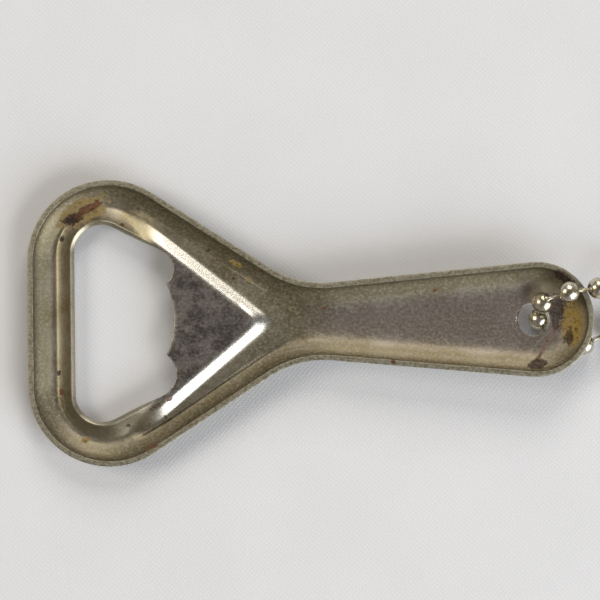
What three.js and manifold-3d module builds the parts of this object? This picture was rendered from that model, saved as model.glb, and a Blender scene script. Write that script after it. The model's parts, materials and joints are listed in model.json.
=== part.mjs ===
// Keychain bottle opener: one pressed steel sheet with a cap mouth and a key hole, and the ball
// chain that runs through the key hole. Millimetres, +Z up. The opener lies on its convex face
// with its hollow back up, and its handle end is propped on the chain that passes under it.
// While it is worked out, X runs from the head's end to the handle's end and Y across.
import * as THREE from 'three';
import { mergeVertices } from 'three/addons/utils/BufferGeometryUtils.js';
import Module from 'manifold-3d';

const RAD = Math.PI / 180;

// ---- Driving dimensions: the pressed sheet ----
const LENGTH = 84; // head's end to handle's end
const SHEET = 0.8; // thickness of the steel
const HEAD_HALF_WIDTH = 21.3;
const HEAD_CORNER_R = 12.1;
const LEG_ANGLE = 33 * RAD; // how steeply the head narrows towards the neck
const NECK_R = 14.5; // hollow curve between head and handle
const HANDLE_END_R = 8.5;
const HANDLE_FLARE = 5.2 * RAD; // each side of the handle opens towards its end
const DEPTH = 3.4; // rim plane over the lowest ridge
const HANDLE_LIFT = 0.3; // underside of the handle floor over the lowest ridge
const HANDLE_WALL_WIDTH = 4.6; // from the rim to the flat floor
const RING_WALL_WIDTH = 3.55; // from the rim to the crease of the head's ring
const WALL_REACH = 7; // half-axis of the wall's elliptical section
const HANDLE_START_X = 36; // where the ring's section starts to turn into the handle's
const HANDLE_FULL_X = 46; // where the handle's section is full
const PROP_GAP = 0.4961; // from the chain under the handle to the handle's end above it

// ---- Mouth and its tooth plate ----
const BAR_WIDTH = 7.2; // head's end to the mouth
const MOUTH_HALF_WIDTH = 14.8;
const MOUTH_CORNER_R = 4.3;
const MOUTH_SLANT = 28.6 * RAD;
const UPPER_LOBE = { x: 18.8, y: 8.1, r: 2.9 };
const LOWER_LOBE = { x: 18.4, y: -7.6, r: 3.6 };
const LIP_X = 21.8; // deepest point of the lip between the two teeth
const LIP_Y = 0.6;
const LIP_R = 12.4;
const MOUTH_RIM = 2.5; // mid-sheet height of the mouth's turned-up edge
const MOUTH_SLOPE = 1.2; // how steeply the sheet falls away from the mouth's edge
const MOUTH_CURVE = 1 / 6; // how fast that fall flattens
const MOUTH_RUN = 3.5; // how far the fall reaches
const MOUTH_FADE_START_X = 17.5; // the turned-up edge fades out into the tooth plate
const MOUTH_FADE_END_X = 21;
const MOUTH_FADE_DROP = 3;
const PLATE_HEIGHT = 2.2; // mid-sheet height of the raised tooth plate
const PLATE_TIP_X = 33.7;
const PLATE_UPPER_ANGLE = 38.3 * RAD;
const PLATE_LOWER_ANGLE = 40.3 * RAD;
const PLATE_START_X = 19.2;
const PLATE_STEP = 1.2; // width of the step down from the plate
const PLATE_STEP_SLOPE = 0.9;
const PLATE_FIELD_SLOPE = 0.15; // of the gentle fall from the step to the crease
const PLATE_FIELD_END = 4.5; // distance from the plate where the fall steepens
const PLATE_END_SLOPE = 0.5;
const PLATE_FRONT_SLOPE = 0.8;
const FLOOR_START_X = 33; // the handle's floor comes up between these
const FLOOR_FULL_X = 37;
const FLOOR_DEPTH = 1; // how far it is under the ridge before it comes up
const CREASE_ROUND = 0.35; // creases between the pressed features are rounded over this height

// ---- Key hole ----
const HOLE_R = 2.435;
const HOLE_TO_END = 8.8; // from the key hole's centre to the handle's end

// ---- Ball chain ----
const BEAD_R = 1.5875;
const BEAD_WALL = 0.2175;
const BEAD_HOLE_R = 0.66;
const BEAD_GAP = 1.325; // between neighbouring beads
const LINK_ROD_R = 0.25;
const HEAD_GRIP = 0.04; // how much bigger a link's head is than the bead's hole, in radius
const HEAD_PLAY = 0.0873; // between a link's head and the edge of the hole that holds it
const UPPER_BEADS = 12; // over the rim, after the bead in the key hole
const LOWER_BEADS = 11; // under the handle
const HOLE_BEAD_PLAY = 0.05; // between the key hole's edge and the bead that lies in it
const HOLE_BEAD_LIFT = 0.6125; // under the bead in the key hole
const TABLE_GAP = 0.0125; // between a bead and the surface that the set lies on
const REST_GAP = 0.1; // between a bead and the sheet that it rests on
const RIM_GAP = 0.35; // from the rim up to the middle of the chain that crosses it

// ---- Snap connector ----
const CONNECTOR_LENGTH = 10.4;
const CONNECTOR_CLEARANCE = 0.22; // between a bead and the connector's tube
const CONNECTOR_WALL = 0.3;
const CONNECTOR_NOSE = 1.3; // length of the tapered part at each end
const CONNECTOR_TAPER = 0.25; // how far the taper draws in
const CONNECTOR_GRIP = 0.445; // how much smaller its end openings are than a bead, in radius
const CONNECTOR_LIFT = 0.0925; // from the surface up to the connector
const SLOT_PLAY = 0.25; // between a link's rod and each side of the slot
const WINDOW_PLAY = 0.11; // between a bead and the window that lets it in

// ---- Fineness of the faceted surfaces ----
const BAR_STEPS = 5;
const CORNER_STEPS = 11;
const LEG_STEPS = 9;
const NECK_STEPS = 6;
const SIDE_STEPS = 12;
const END_STEPS = 10;
const SLANT_STEPS = 5;
const LOBE_STEPS = 9;
const LIP_STEPS = 5;
const SLIT_STEPS = 12; // along the middle line of the handle
const LEG_RUN = 24; // length of the outline that the mouth's slanted side, lobe and lip share
const WALL_STEPS = [0, 12, 25, 38, 50].map((a) => a * RAD);
const INNER_STEPS = 7;
const BEAD_SIDES = 12;
const BEAD_OUTER_STEPS = 6;
const BEAD_INNER_STEPS = 4;
const HEAD_STEPS = 4;
const LINK_SIDES = 8;
const CONNECTOR_SIDES = 24;

const lerp = (a, b, t) => a + (b - a) * t;
const clamp = (v, lo, hi) => Math.min(Math.max(v, lo), hi);
const smooth = (a, b, v) => {
  const t = clamp((v - a) / (b - a), 0, 1);
  return t * t * (3 - 2 * t);
};

// Points on an arc from angle a to angle b, both ends included.
function arc(x, y, r, a, b, steps) {
  const points = [];
  for (let i = 0; i <= steps; i++) {
    const t = lerp(a, b, i / steps);
    points.push(new THREE.Vector2(x + r * Math.cos(t), y + r * Math.sin(t)));
  }
  return points;
}

// Points on a straight edge, its first end left out.
function edge(from, to, steps) {
  const points = [];
  for (let i = 1; i <= steps; i++) points.push(from.clone().lerp(to, i / steps));
  return points;
}

// Where two lines, each a point and a direction, cross.
function crossing(p, u, q, v) {
  const t = ((q.x - p.x) * v.y - (q.y - p.y) * v.x) / (u.x * v.y - u.y * v.x);
  return new THREE.Vector2(p.x + u.x * t, p.y + u.y * t);
}

// ---- Outlines, as matched runs of points from the head's end to the handle's end ----
const holeX = LENGTH - HOLE_TO_END;
const endX = LENGTH - HANDLE_END_R;
const headCorner = new THREE.Vector2(HEAD_CORNER_R, HEAD_HALF_WIDTH - HEAD_CORNER_R);
const quarter = Math.PI / 2;

// The upper half of the outline. The lower half mirrors it.
function outerHalf() {
  const bar = edge(new THREE.Vector2(0, 0), new THREE.Vector2(0, headCorner.y), BAR_STEPS);
  const cornerEnd = quarter - LEG_ANGLE;
  const corner = arc(headCorner.x, headCorner.y, HEAD_CORNER_R, Math.PI, cornerEnd, CORNER_STEPS);
  const legStart = corner[corner.length - 1];
  const legWay = new THREE.Vector2(Math.cos(LEG_ANGLE), -Math.sin(LEG_ANGLE));
  const sideWay = new THREE.Vector2(Math.cos(HANDLE_FLARE), Math.sin(HANDLE_FLARE));
  const sideEnd = new THREE.Vector2(
    endX - HANDLE_END_R * Math.sin(HANDLE_FLARE),
    HANDLE_END_R * Math.cos(HANDLE_FLARE)
  );
  const bend = crossing(legStart, legWay, sideEnd, sideWay);
  const half = (LEG_ANGLE + HANDLE_FLARE) / 2;
  const legEnd = bend.clone().addScaledVector(legWay, -NECK_R * Math.tan(half));
  const centre = legEnd.clone().add(new THREE.Vector2(-legWay.y, legWay.x).multiplyScalar(NECK_R));
  const neckStart = -quarter - LEG_ANGLE;
  const neckEnd = -quarter + HANDLE_FLARE;
  const neck = arc(centre.x, centre.y, NECK_R, neckStart, neckEnd, NECK_STEPS);
  const end = arc(endX, 0, HANDLE_END_R, quarter + HANDLE_FLARE, 0, END_STEPS);
  return {
    bar: [new THREE.Vector2(0, 0), ...bar.slice(0, -1)],
    corner,
    leg: edge(legStart, legEnd, LEG_STEPS).slice(0, -1),
    neck,
    side: edge(neck[neck.length - 1], end[0], SIDE_STEPS).slice(0, -1),
    end
  };
}

// One half of the edge of the mouth: side is 1 for the upper half and -1 for the lower.
function mouthHalf(side) {
  const lobe = side > 0 ? UPPER_LOBE : LOWER_LOBE;
  const lobeY = lobe.y * side;
  const cornerX = BAR_WIDTH + MOUTH_CORNER_R;
  const cornerY = MOUTH_HALF_WIDTH - MOUTH_CORNER_R;
  const barStart = new THREE.Vector2(BAR_WIDTH, 0);
  const bar = edge(barStart, new THREE.Vector2(BAR_WIDTH, cornerY), BAR_STEPS);
  const slantTurn = quarter - MOUTH_SLANT;
  const corner = arc(cornerX, cornerY, MOUTH_CORNER_R, Math.PI, slantTurn, CORNER_STEPS);
  const lipY = LIP_Y * side;
  const lipCentre = LIP_X - LIP_R;
  // the tooth's point: where the lobe's circle crosses the lip's
  const apart = Math.hypot(lobe.x - lipCentre, lobeY - lipY);
  const along = (apart ** 2 + LIP_R ** 2 - lobe.r ** 2) / (2 * apart);
  const off = Math.sqrt(LIP_R ** 2 - along ** 2);
  const ux = (lobe.x - lipCentre) / apart;
  const uy = (lobeY - lipY) / apart;
  const tooth = new THREE.Vector2(
    lipCentre + ux * along + uy * off,
    lipY + uy * along - ux * off
  );
  const lobeEnd = Math.atan2(tooth.y - lobeY, tooth.x - lobe.x);
  const round = arc(lobe.x, lobeY, lobe.r, slantTurn, lobeEnd, LOBE_STEPS);
  const lipStart = Math.atan2(tooth.y - lipY, tooth.x - lipCentre);
  const points = {
    bar: [barStart, ...bar.slice(0, -1)],
    corner,
    slant: edge(corner[corner.length - 1], round[0], SLANT_STEPS).slice(0, -1),
    round,
    lip: arc(lipCentre, lipY, LIP_R, lipStart, 0, LIP_STEPS).slice(1)
  };
  for (const run of Object.values(points)) for (const p of run) p.y *= side;
  return points;
}

// ---- Heights of the middle of the sheet ----
const outlineHalf = Object.values(outerHalf()).flat();
const lowerHalf = outlineHalf.slice(1, -1).reverse().map((p) => new THREE.Vector2(p.x, -p.y));
const outline = [...outlineHalf, ...lowerHalf];
const halves = { 1: mouthHalf(1), [-1]: mouthHalf(-1) };
const mouth = [
  ...Object.values(halves[1]).flat(),
  ...Object.values(halves[-1]).flat().slice(1, -1).reverse()
];

// Distance from a point to a closed line of points.
function distance(line, x, y) {
  let best = Infinity;
  line.forEach((a, i) => {
    const b = line[(i + 1) % line.length];
    const dx = b.x - a.x;
    const dy = b.y - a.y;
    const t = clamp(((x - a.x) * dx + (y - a.y) * dy) / (dx * dx + dy * dy), 0, 1);
    best = Math.min(best, Math.hypot(a.x + dx * t - x, a.y + dy * t - y));
  });
  return best;
}

// How much of the handle's section, rather than the ring's, the wall has at x.
const handleShare = (x) => smooth(HANDLE_START_X, HANDLE_FULL_X, x);

// Height that the wall's ellipse spans, so that it lands on the ring's crease or the handle's floor.
function wallSpan(x) {
  const drop = (width) => Math.sqrt(1 - (1 - width / WALL_REACH) ** 2);
  const ring = (DEPTH - SHEET / 2) / drop(RING_WALL_WIDTH);
  const handle = (DEPTH - HANDLE_LIFT - SHEET / 2) / drop(HANDLE_WALL_WIDTH);
  return lerp(ring, handle, handleShare(x));
}

function wallHeight(x, inset) {
  const u = clamp(1 - (inset - SHEET / 2) / WALL_REACH, 0, 1);
  return DEPTH - wallSpan(x) * Math.sqrt(1 - u * u);
}

// The mouth's edge rises in a curve from the crease, steepest at the edge.
function mouthHeight(x, inset) {
  const d = Math.min(inset, MOUTH_RUN);
  const fade = MOUTH_FADE_DROP * smooth(MOUTH_FADE_START_X, MOUTH_FADE_END_X, x);
  return MOUTH_RIM - MOUTH_SLOPE * d + MOUTH_CURVE * d * d - fade;
}

// The raised plate, its step, and the gentle fall from the step to the crease.
function plateHeight(x, y) {
  const behind = x - PLATE_TIP_X;
  const upper = behind * Math.sin(PLATE_UPPER_ANGLE) + y * Math.cos(PLATE_UPPER_ANGLE);
  const lower = behind * Math.sin(PLATE_LOWER_ANGLE) - y * Math.cos(PLATE_LOWER_ANGLE);
  const out = Math.max(upper, lower, (PLATE_START_X - x) * PLATE_FRONT_SLOPE);
  const step = clamp(out, 0, PLATE_STEP) * PLATE_STEP_SLOPE;
  const field = Math.max(out - PLATE_STEP, 0) * PLATE_FIELD_SLOPE;
  return PLATE_HEIGHT - step - field - Math.max(out - PLATE_FIELD_END, 0) * PLATE_END_SLOPE;
}

function floorHeight(x) {
  return lerp(-FLOOR_DEPTH, HANDLE_LIFT + SHEET / 2, smooth(FLOOR_START_X, FLOOR_FULL_X, x));
}

// The higher of two heights, with the crease between them rounded over CREASE_ROUND.
function higher(a, b) {
  const near = Math.max(CREASE_ROUND - Math.abs(a - b), 0) / CREASE_ROUND;
  return Math.max(a, b) + near * near * CREASE_ROUND / 4;
}

function middle(x, y) {
  return [
    wallHeight(x, distance(outline, x, y)),
    mouthHeight(x, distance(mouth, x, y)),
    plateHeight(x, y),
    floorHeight(x)
  ].reduce(higher);
}

// ---- The opener: both faces of the sheet, offset half its thickness from the middle ----

// The point at a given length along a line of points.
function pointAlong(line, length) {
  let left = length;
  let i = 1;
  while (i < line.length - 1 && left > line[i].distanceTo(line[i - 1])) {
    left -= line[i].distanceTo(line[i - 1]);
    i++;
  }
  return line[i - 1].clone().lerp(line[i], clamp(left / line[i].distanceTo(line[i - 1]), 0, 1));
}

// Pairs of points, one on the outline and one on the inner edge: the mouth, then the middle line
// of the handle, then the key hole. side is 1 for the upper half and -1 for the lower.
function stations(side) {
  const outer = outerHalf();
  Object.values(outer).flat().forEach((p) => p.set(p.x, p.y * side));
  const inner = halves[side];
  const head = [...outer.bar, ...outer.corner];
  const headInner = [...inner.bar, ...inner.corner];
  const pairs = head.map((p, i) => [p, headInner[i]]);
  const lip = inner.lip[inner.lip.length - 1];
  const mouthRun = [...inner.slant.slice(1), ...inner.round, ...inner.lip];
  const slit = edge(lip, new THREE.Vector2(holeX - HOLE_R, 0), SLIT_STEPS);
  const cornerEnd = head[head.length - 1];
  const flank = [cornerEnd, ...outer.leg, ...outer.neck, ...outer.side, outer.end[0]];
  let flankLength = 0;
  for (let i = 1; i < flank.length; i++) flankLength += flank[i].distanceTo(flank[i - 1]);
  mouthRun.forEach((p, i) => {
    pairs.push([pointAlong(flank, LEG_RUN * (i + 1) / mouthRun.length), p]);
  });
  slit.forEach((p, i) => {
    pairs.push([pointAlong(flank, lerp(LEG_RUN, flankLength, (i + 1) / SLIT_STEPS)), p]);
  });
  const hole = arc(holeX, 0, HOLE_R, Math.PI, 0, END_STEPS);
  for (let i = 1; i <= END_STEPS; i++) {
    pairs.push([outer.end[i], new THREE.Vector2(hole[i].x, hole[i].y * side)]);
  }
  return pairs;
}

// The way into the sheet from a point on the outline.
function inward(x, y) {
  const step = 0.05;
  const gap = (px, py) => distance(outline, px, py) * (inside(px, py) ? 1 : -1);
  const gx = gap(x + step, y) - gap(x - step, y);
  const gy = gap(x, y + step) - gap(x, y - step);
  return new THREE.Vector2(gx, gy).normalize();
}

// Is a point inside the outline?
function inside(x, y) {
  let odd = false;
  outline.forEach((a, i) => {
    const b = outline[(i + 1) % outline.length];
    if (a.y > y !== b.y > y && x < a.x + ((y - a.y) / (b.y - a.y)) * (b.x - a.x)) odd = !odd;
  });
  return odd;
}

// A point of the middle of the sheet and the way its hollow face looks, on the wall by the rim.
function wallPoint(from, way, turn) {
  const inset = SHEET / 2 + WALL_REACH * (1 - Math.cos(turn));
  const span = wallSpan(from.x);
  const x = from.x + way.x * inset;
  const y = from.y + way.y * inset;
  const rise = new THREE.Vector2(span * Math.cos(turn), WALL_REACH * Math.sin(turn)).normalize();
  const normal = new THREE.Vector3(way.x * rise.x, way.y * rise.x, rise.y);
  return { at: new THREE.Vector3(x, y, DEPTH - span * Math.sin(turn)), normal };
}

// The same inside the wall, where the sheet's height is a function of x and y.
function floorPoint(x, y) {
  const step = 0.3;
  const gx = (middle(x + step, y) - middle(x - step, y)) / (2 * step);
  const gy = (middle(x, y + step) - middle(x, y - step)) / (2 * step);
  const normal = new THREE.Vector3(-gx, -gy, 1).normalize();
  return { at: new THREE.Vector3(x, y, middle(x, y)), normal };
}

function openerGeometry() {
  const positions = [];
  const put = (...corners) => corners.forEach((c) => positions.push(c.x, c.y, c.z));
  for (const side of [1, -1]) {
    // seen from the hollow side, the upper half is walked clockwise and the lower the other way
    const face = (a, b, c) => (side > 0 ? put(a, b, c) : put(a, c, b));
    const quad = (a, b, c, d) => {
      face(a, b, c);
      face(a, c, d);
    };
    const rows = stations(side).map(([out, into]) => {
      const way = inward(out.x, out.y);
      const wall = WALL_STEPS.map((turn) => wallPoint(out, way, turn));
      const last = wall[wall.length - 1].at;
      const rest = [];
      for (let j = 1; j <= INNER_STEPS; j++) {
        const t = j / INNER_STEPS;
        rest.push(floorPoint(lerp(last.x, into.x, t), lerp(last.y, into.y, t)));
      }
      return [...wall, ...rest].map(({ at, normal }) => [
        at.clone().addScaledVector(normal, SHEET / 2),
        at.clone().addScaledVector(normal, -SHEET / 2)
      ]);
    });
    const last = rows[0].length - 1;
    const slitStart = rows.length - END_STEPS - SLIT_STEPS;
    for (let i = 1; i < rows.length; i++) {
      const a = rows[i - 1];
      const b = rows[i];
      for (let j = 1; j <= last; j++) {
        quad(a[j - 1][0], a[j][0], b[j][0], b[j - 1][0]);
        quad(b[j - 1][1], b[j][1], a[j][1], a[j - 1][1]);
      }
      quad(a[0][1], a[0][0], b[0][0], b[0][1]);
      const open = i < slitStart || i >= slitStart + SLIT_STEPS;
      if (open) quad(b[last][1], b[last][0], a[last][0], a[last][1]);
    }
  }
  return solidGeometry(positions);
}

// ---- Solids from loose triangles, and joins and cuts ----
function solidGeometry(positions) {
  const geometry = new THREE.BufferGeometry();
  geometry.setAttribute('position', new THREE.Float32BufferAttribute(positions, 3));
  return mergeVertices(geometry, 1e-4);
}

const wasm = await Module();
wasm.setup();

function toSolid(geometry) {
  const bare = geometry.clone();
  bare.deleteAttribute('normal');
  bare.deleteAttribute('uv');
  const merged = mergeVertices(bare, 1e-4);
  return new wasm.Manifold(new wasm.Mesh({
    numProp: 3,
    vertProperties: new Float32Array(merged.attributes.position.array),
    triVerts: new Uint32Array(merged.index.array)
  }));
}

function fromSolid(solid) {
  const mesh = solid.getMesh();
  const geometry = new THREE.BufferGeometry();
  geometry.setAttribute('position', new THREE.BufferAttribute(mesh.vertProperties, 3));
  geometry.setIndex(new THREE.BufferAttribute(mesh.triVerts, 1));
  return geometry;
}

// ---- Sizes of the chain's pieces that follow from what they fit ----
const beadInner = BEAD_R - BEAD_WALL;
const beadPitch = 2 * BEAD_R + BEAD_GAP;
const linkHeadR = BEAD_HOLE_R + HEAD_GRIP;
const holeDepth = Math.sqrt(beadInner ** 2 - BEAD_HOLE_R ** 2);
// from a bead's centre to the centre of a link's head
const headSeat = holeDepth - Math.sqrt(linkHeadR ** 2 - BEAD_HOLE_R ** 2) - HEAD_PLAY;
const linkSpan = beadPitch - 2 * headSeat;
const connectorBore = BEAD_R + CONNECTOR_CLEARANCE;
const connectorR = connectorBore + CONNECTOR_WALL;

// ---- Chain pieces, each along +Y with its middle at the origin ----

// A hollow bead with a hole at each pole.
function beadGeometry() {
  const outerHole = Math.asin(BEAD_HOLE_R / BEAD_R);
  const innerHole = Math.asin(BEAD_HOLE_R / beadInner);
  const profile = [
    ...arc(0, 0, BEAD_R, -quarter + outerHole, quarter - outerHole, BEAD_OUTER_STEPS),
    ...arc(0, 0, beadInner, quarter - innerHole, -quarter + innerHole, BEAD_INNER_STEPS)
  ];
  return new THREE.LatheGeometry([...profile, profile[0]], BEAD_SIDES);
}

// A rod with a round head at each end.
function linkGeometry() {
  const neck = Math.asin(LINK_ROD_R / linkHeadR);
  const half = linkSpan / 2;
  const profile = [
    ...arc(0, -half, linkHeadR, -quarter, quarter - neck, HEAD_STEPS),
    ...arc(0, half, linkHeadR, -quarter + neck, quarter, HEAD_STEPS)
  ];
  profile[0].x = 0;
  profile[profile.length - 1].x = 0;
  return new THREE.LatheGeometry(profile, LINK_SIDES);
}

// A tube that snaps over the last bead, with a round window and a slot that let a bead in.
function connectorGeometry() {
  const half = CONNECTOR_LENGTH / 2;
  const straight = half - CONNECTOR_NOSE;
  const mouthR = BEAD_R - CONNECTOR_GRIP;
  const outside = [
    new THREE.Vector2(mouthR, -half),
    new THREE.Vector2(connectorR - CONNECTOR_TAPER, -half),
    new THREE.Vector2(connectorR, -straight)
  ];
  const inside = [
    new THREE.Vector2(mouthR, half - CONNECTOR_WALL),
    new THREE.Vector2(connectorBore, straight)
  ];
  const turnedOver = (run) => run.map((p) => new THREE.Vector2(p.x, -p.y)).reverse();
  const profile = [...outside, ...turnedOver(outside), ...inside, ...turnedOver(inside)];
  const tube = toSolid(new THREE.LatheGeometry([...profile, profile[0]], CONNECTOR_SIDES));
  const windowR = BEAD_R + WINDOW_PLAY;
  const depth = connectorR * 2;
  const window = new THREE.CylinderGeometry(windowR, windowR, depth, CONNECTOR_SIDES);
  window.rotateX(quarter);
  window.translate(0, 0, connectorR);
  const slot = new THREE.BoxGeometry((LINK_ROD_R + SLOT_PLAY) * 2, CONNECTOR_LENGTH, depth);
  slot.translate(0, half, connectorR);
  return fromSolid(tube.subtract(toSolid(window)).subtract(toSolid(slot)));
}

// ---- How the opener lies: its handle's end is propped on the chain under it ----
const handleRise = 2 * BEAD_R + PROP_GAP - HANDLE_LIFT;
const restTilt = Math.asin(handleRise / LENGTH);

// From the opener's own frame to the frame of the set as it lies.
function lying(x, y, z) {
  return new THREE.Vector3(x, y, z).applyAxisAngle(new THREE.Vector3(0, 1, 0), -restTilt);
}

// ---- Route of the chain, as it lies ----
// The lowest centre, at x, y of the opener's own frame, of a bead that is REST_GAP or more above
// the sheet all round. It isn't limited where no sheet is under the bead.
function onSheet(x, y) {
  const rings = 8;
  const spokes = 24;
  const reach = BEAD_R + REST_GAP + SHEET / 2;
  let height = -Infinity;
  for (let i = 0; i < rings; i++) {
    const away = reach * Math.sin((i / rings) * quarter);
    const rise = reach * Math.cos((i / rings) * quarter);
    for (let j = 0; j < spokes; j++) {
      const px = x + away * Math.cos((j / spokes) * 2 * Math.PI);
      const py = y + away * Math.sin((j / spokes) * 2 * Math.PI);
      if (inside(px, py)) height = Math.max(height, middle(px, py) + rise);
    }
  }
  return height;
}

const tableZ = BEAD_R + TABLE_GAP;
const rimZ = DEPTH + handleRise + RIM_GAP;
const connectorZ = connectorR + CONNECTOR_LIFT;
const holeBead = new THREE.Vector3(
  holeX + HOLE_R - BEAD_R - HOLE_BEAD_PLAY,
  0,
  BEAD_R + HOLE_BEAD_LIFT
);

// A point that is x, y bead pitches from the bead in the key hole, at a given height.
function away(x, y, z) {
  return new THREE.Vector3(holeBead.x + x * beadPitch, holeBead.y + y * beadPitch, z);
}

// The same, resting on the hollow side of the sheet.
function awayOnSheet(x, y) {
  const flat = away(x, y, 0);
  return lying(flat.x, flat.y, onSheet(flat.x, flat.y));
}

const fall = (share) => lerp(tableZ, rimZ, share);
const rise = (share) => lerp(tableZ, connectorZ, share);
const upperRoute = [
  awayOnSheet(0.13, 0.58),
  awayOnSheet(0.97, 0.89),
  away(1.95, 1.02, rimZ),
  away(2.66, 1.20, fall(0.45)),
  away(3.46, 1.43, fall(0.045)),
  away(4.43, 1.75, tableZ),
  away(5.34, 2.21, tableZ),
  away(6.15, 2.83, tableZ),
  away(6.79, 3.61, tableZ),
  away(7.25, 4.51, rise(0.17)),
  away(7.51, 5.47, rise(0.67)),
  away(7.57, 6.48, connectorZ),
  away(7.51, 7.59, connectorZ),
  away(7.37, 9.20, connectorZ),
  away(7.18, 11.49, connectorZ)
];
const lowerRoute = [
  away(0.56, -0.80, tableZ),
  away(1.53, -0.83, tableZ),
  away(2.43, -0.44, tableZ),
  away(3.39, -0.30, tableZ),
  away(4.38, -0.48, tableZ),
  away(5.30, -0.94, tableZ),
  away(6.06, -1.63, tableZ),
  away(6.59, -2.51, tableZ),
  away(6.89, -3.47, tableZ),
  away(6.98, -4.51, tableZ),
  away(6.93, -5.56, tableZ),
  away(6.82, -7.13, tableZ),
  away(6.68, -9.66, tableZ)
];
const route = new THREE.CatmullRomCurve3([...lowerRoute.reverse(), holeBead, ...upperRoute]);
const holeBeadAt = lowerRoute.length / (lowerRoute.length + upperRoute.length);

// A bead at share t of the route that looks along it, or along a given turn.
function spot(t, way, turn) {
  return { t, centre: route.getPoint(t), along: turn ?? route.getTangent(t).multiplyScalar(way) };
}

// The centre of the link's head that a bead holds, sign 1 for the one ahead of it.
function seat(bead, sign) {
  return bead.centre.clone().addScaledVector(bead.along, headSeat * sign);
}

// Walks the route from the bead in the key hole, way 1 over the rim and -1 under the handle.
// Each bead sits on the route where a link of fixed length just reaches it. A bead is turned
// half-way between its two links, which the first pass takes from the route and later ones
// from the links of the pass before.
function walk(way, count, turns) {
  const coarse = way * 0.002;
  const halvings = 40;
  const beads = [spot(holeBeadAt, way, turns[0])];
  const links = [];
  for (let i = 0; i < count; i++) {
    const from = seat(beads[i], 1);
    const next = (t) => spot(t, way, turns[i + 1]);
    const short = (t) => seat(next(t), -1).distanceTo(from) < linkSpan;
    let far = beads[i].t + coarse;
    while (short(far)) far += coarse;
    let near = far - coarse;
    for (let n = 0; n < halvings; n++) {
      const half = (near + far) / 2;
      if (short(half)) near = half;
      else far = half;
    }
    const bead = next(far);
    const to = seat(bead, -1);
    beads.push(bead);
    links.push({
      centre: from.clone().add(to).divideScalar(2),
      along: to.clone().sub(from).normalize()
    });
  }
  return { beads, links };
}

function layChain() {
  const between = (a, b) => a.clone().add(b).normalize();
  const turned = ({ links }) => {
    return links.map((one, i) => between(one.along, (links[i + 1] ?? one).along));
  };
  const passes = 12;
  let upperTurns = [];
  let lowerTurns = [];
  let strands;
  for (let pass = 0; pass < passes; pass++) {
    strands = { upper: walk(1, UPPER_BEADS, upperTurns), lower: walk(-1, LOWER_BEADS, lowerTurns) };
    const { upper, lower } = strands;
    const hole = between(upper.links[0].along, lower.links[0].along.clone().negate());
    upperTurns = [hole, ...turned(upper)];
    lowerTurns = [hole.clone().negate(), ...turned(lower)];
  }
  return strands;
}

// ---- The assembly ----
const steel = new THREE.MeshStandardMaterial({ color: 0x8d867c, roughness: 0.38, metalness: 0.95 });
const beadSteel = new THREE.MeshStandardMaterial({ color: 0xb9b3a4, roughness: 0.28, metalness: 1 });
const linkSteel = new THREE.MeshStandardMaterial({ color: 0x9c9588, roughness: 0.4, metalness: 1 });
const snapSteel = new THREE.MeshStandardMaterial({ color: 0xc2bcae, roughness: 0.3, metalness: 1 });

function place(name, geometry, material, { centre, along }) {
  const mesh = new THREE.Mesh(geometry, material);
  mesh.name = name;
  mesh.position.copy(centre);
  // the piece's +Y goes along the chain, and its +Z stays as near upright as it can
  const x = along.clone().cross(new THREE.Vector3(0, 0, 1));
  if (x.length() < 0.2) x.copy(along).cross(new THREE.Vector3(0, 1, 0));
  x.normalize();
  const turn = new THREE.Matrix4().makeBasis(x, along, x.clone().cross(along));
  mesh.quaternion.setFromRotationMatrix(turn);
  return mesh;
}

const keychain = new THREE.Group();
const opener = new THREE.Mesh(openerGeometry(), steel);
opener.name = 'opener_body';
opener.rotation.y = -restTilt;
opener.position.z = -new THREE.Box3().setFromObject(opener, true).min.z;
keychain.add(opener);

const bead = beadGeometry();
const link = linkGeometry();
const strands = layChain();
keychain.add(place('hole_bead', bead, beadSteel, strands.upper.beads[0]));
for (const [strand, { beads, links }] of Object.entries(strands)) {
  links.forEach((at, i) => {
    const number = String(i + 1).padStart(2, '0');
    keychain.add(place(`${strand}_link_${number}`, link, linkSteel, at));
    keychain.add(place(`${strand}_bead_${number}`, bead, beadSteel, beads[i + 1]));
  });
}

// The connector grips the last bead of the upper strand and is open towards the other end.
const lastBead = strands.upper.beads[UPPER_BEADS];
const gripOffset = CONNECTOR_LENGTH / 2 - connectorR;
keychain.add(place('snap_connector', connectorGeometry(), snapSteel, {
  centre: lastBead.centre.clone().addScaledVector(lastBead.along, gripOffset),
  along: lastBead.along
}));

// The origin is on the surface that the set lies on, under the middle of its box.
const whole = new THREE.Box3().setFromObject(keychain, true);
keychain.position.set(-(whole.min.x + whole.max.x) / 2, -(whole.min.y + whole.max.y) / 2, 0);

export default keychain;
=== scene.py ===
"""A pressed steel bottle opener on a ball chain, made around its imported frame."""
import json
import math

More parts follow.
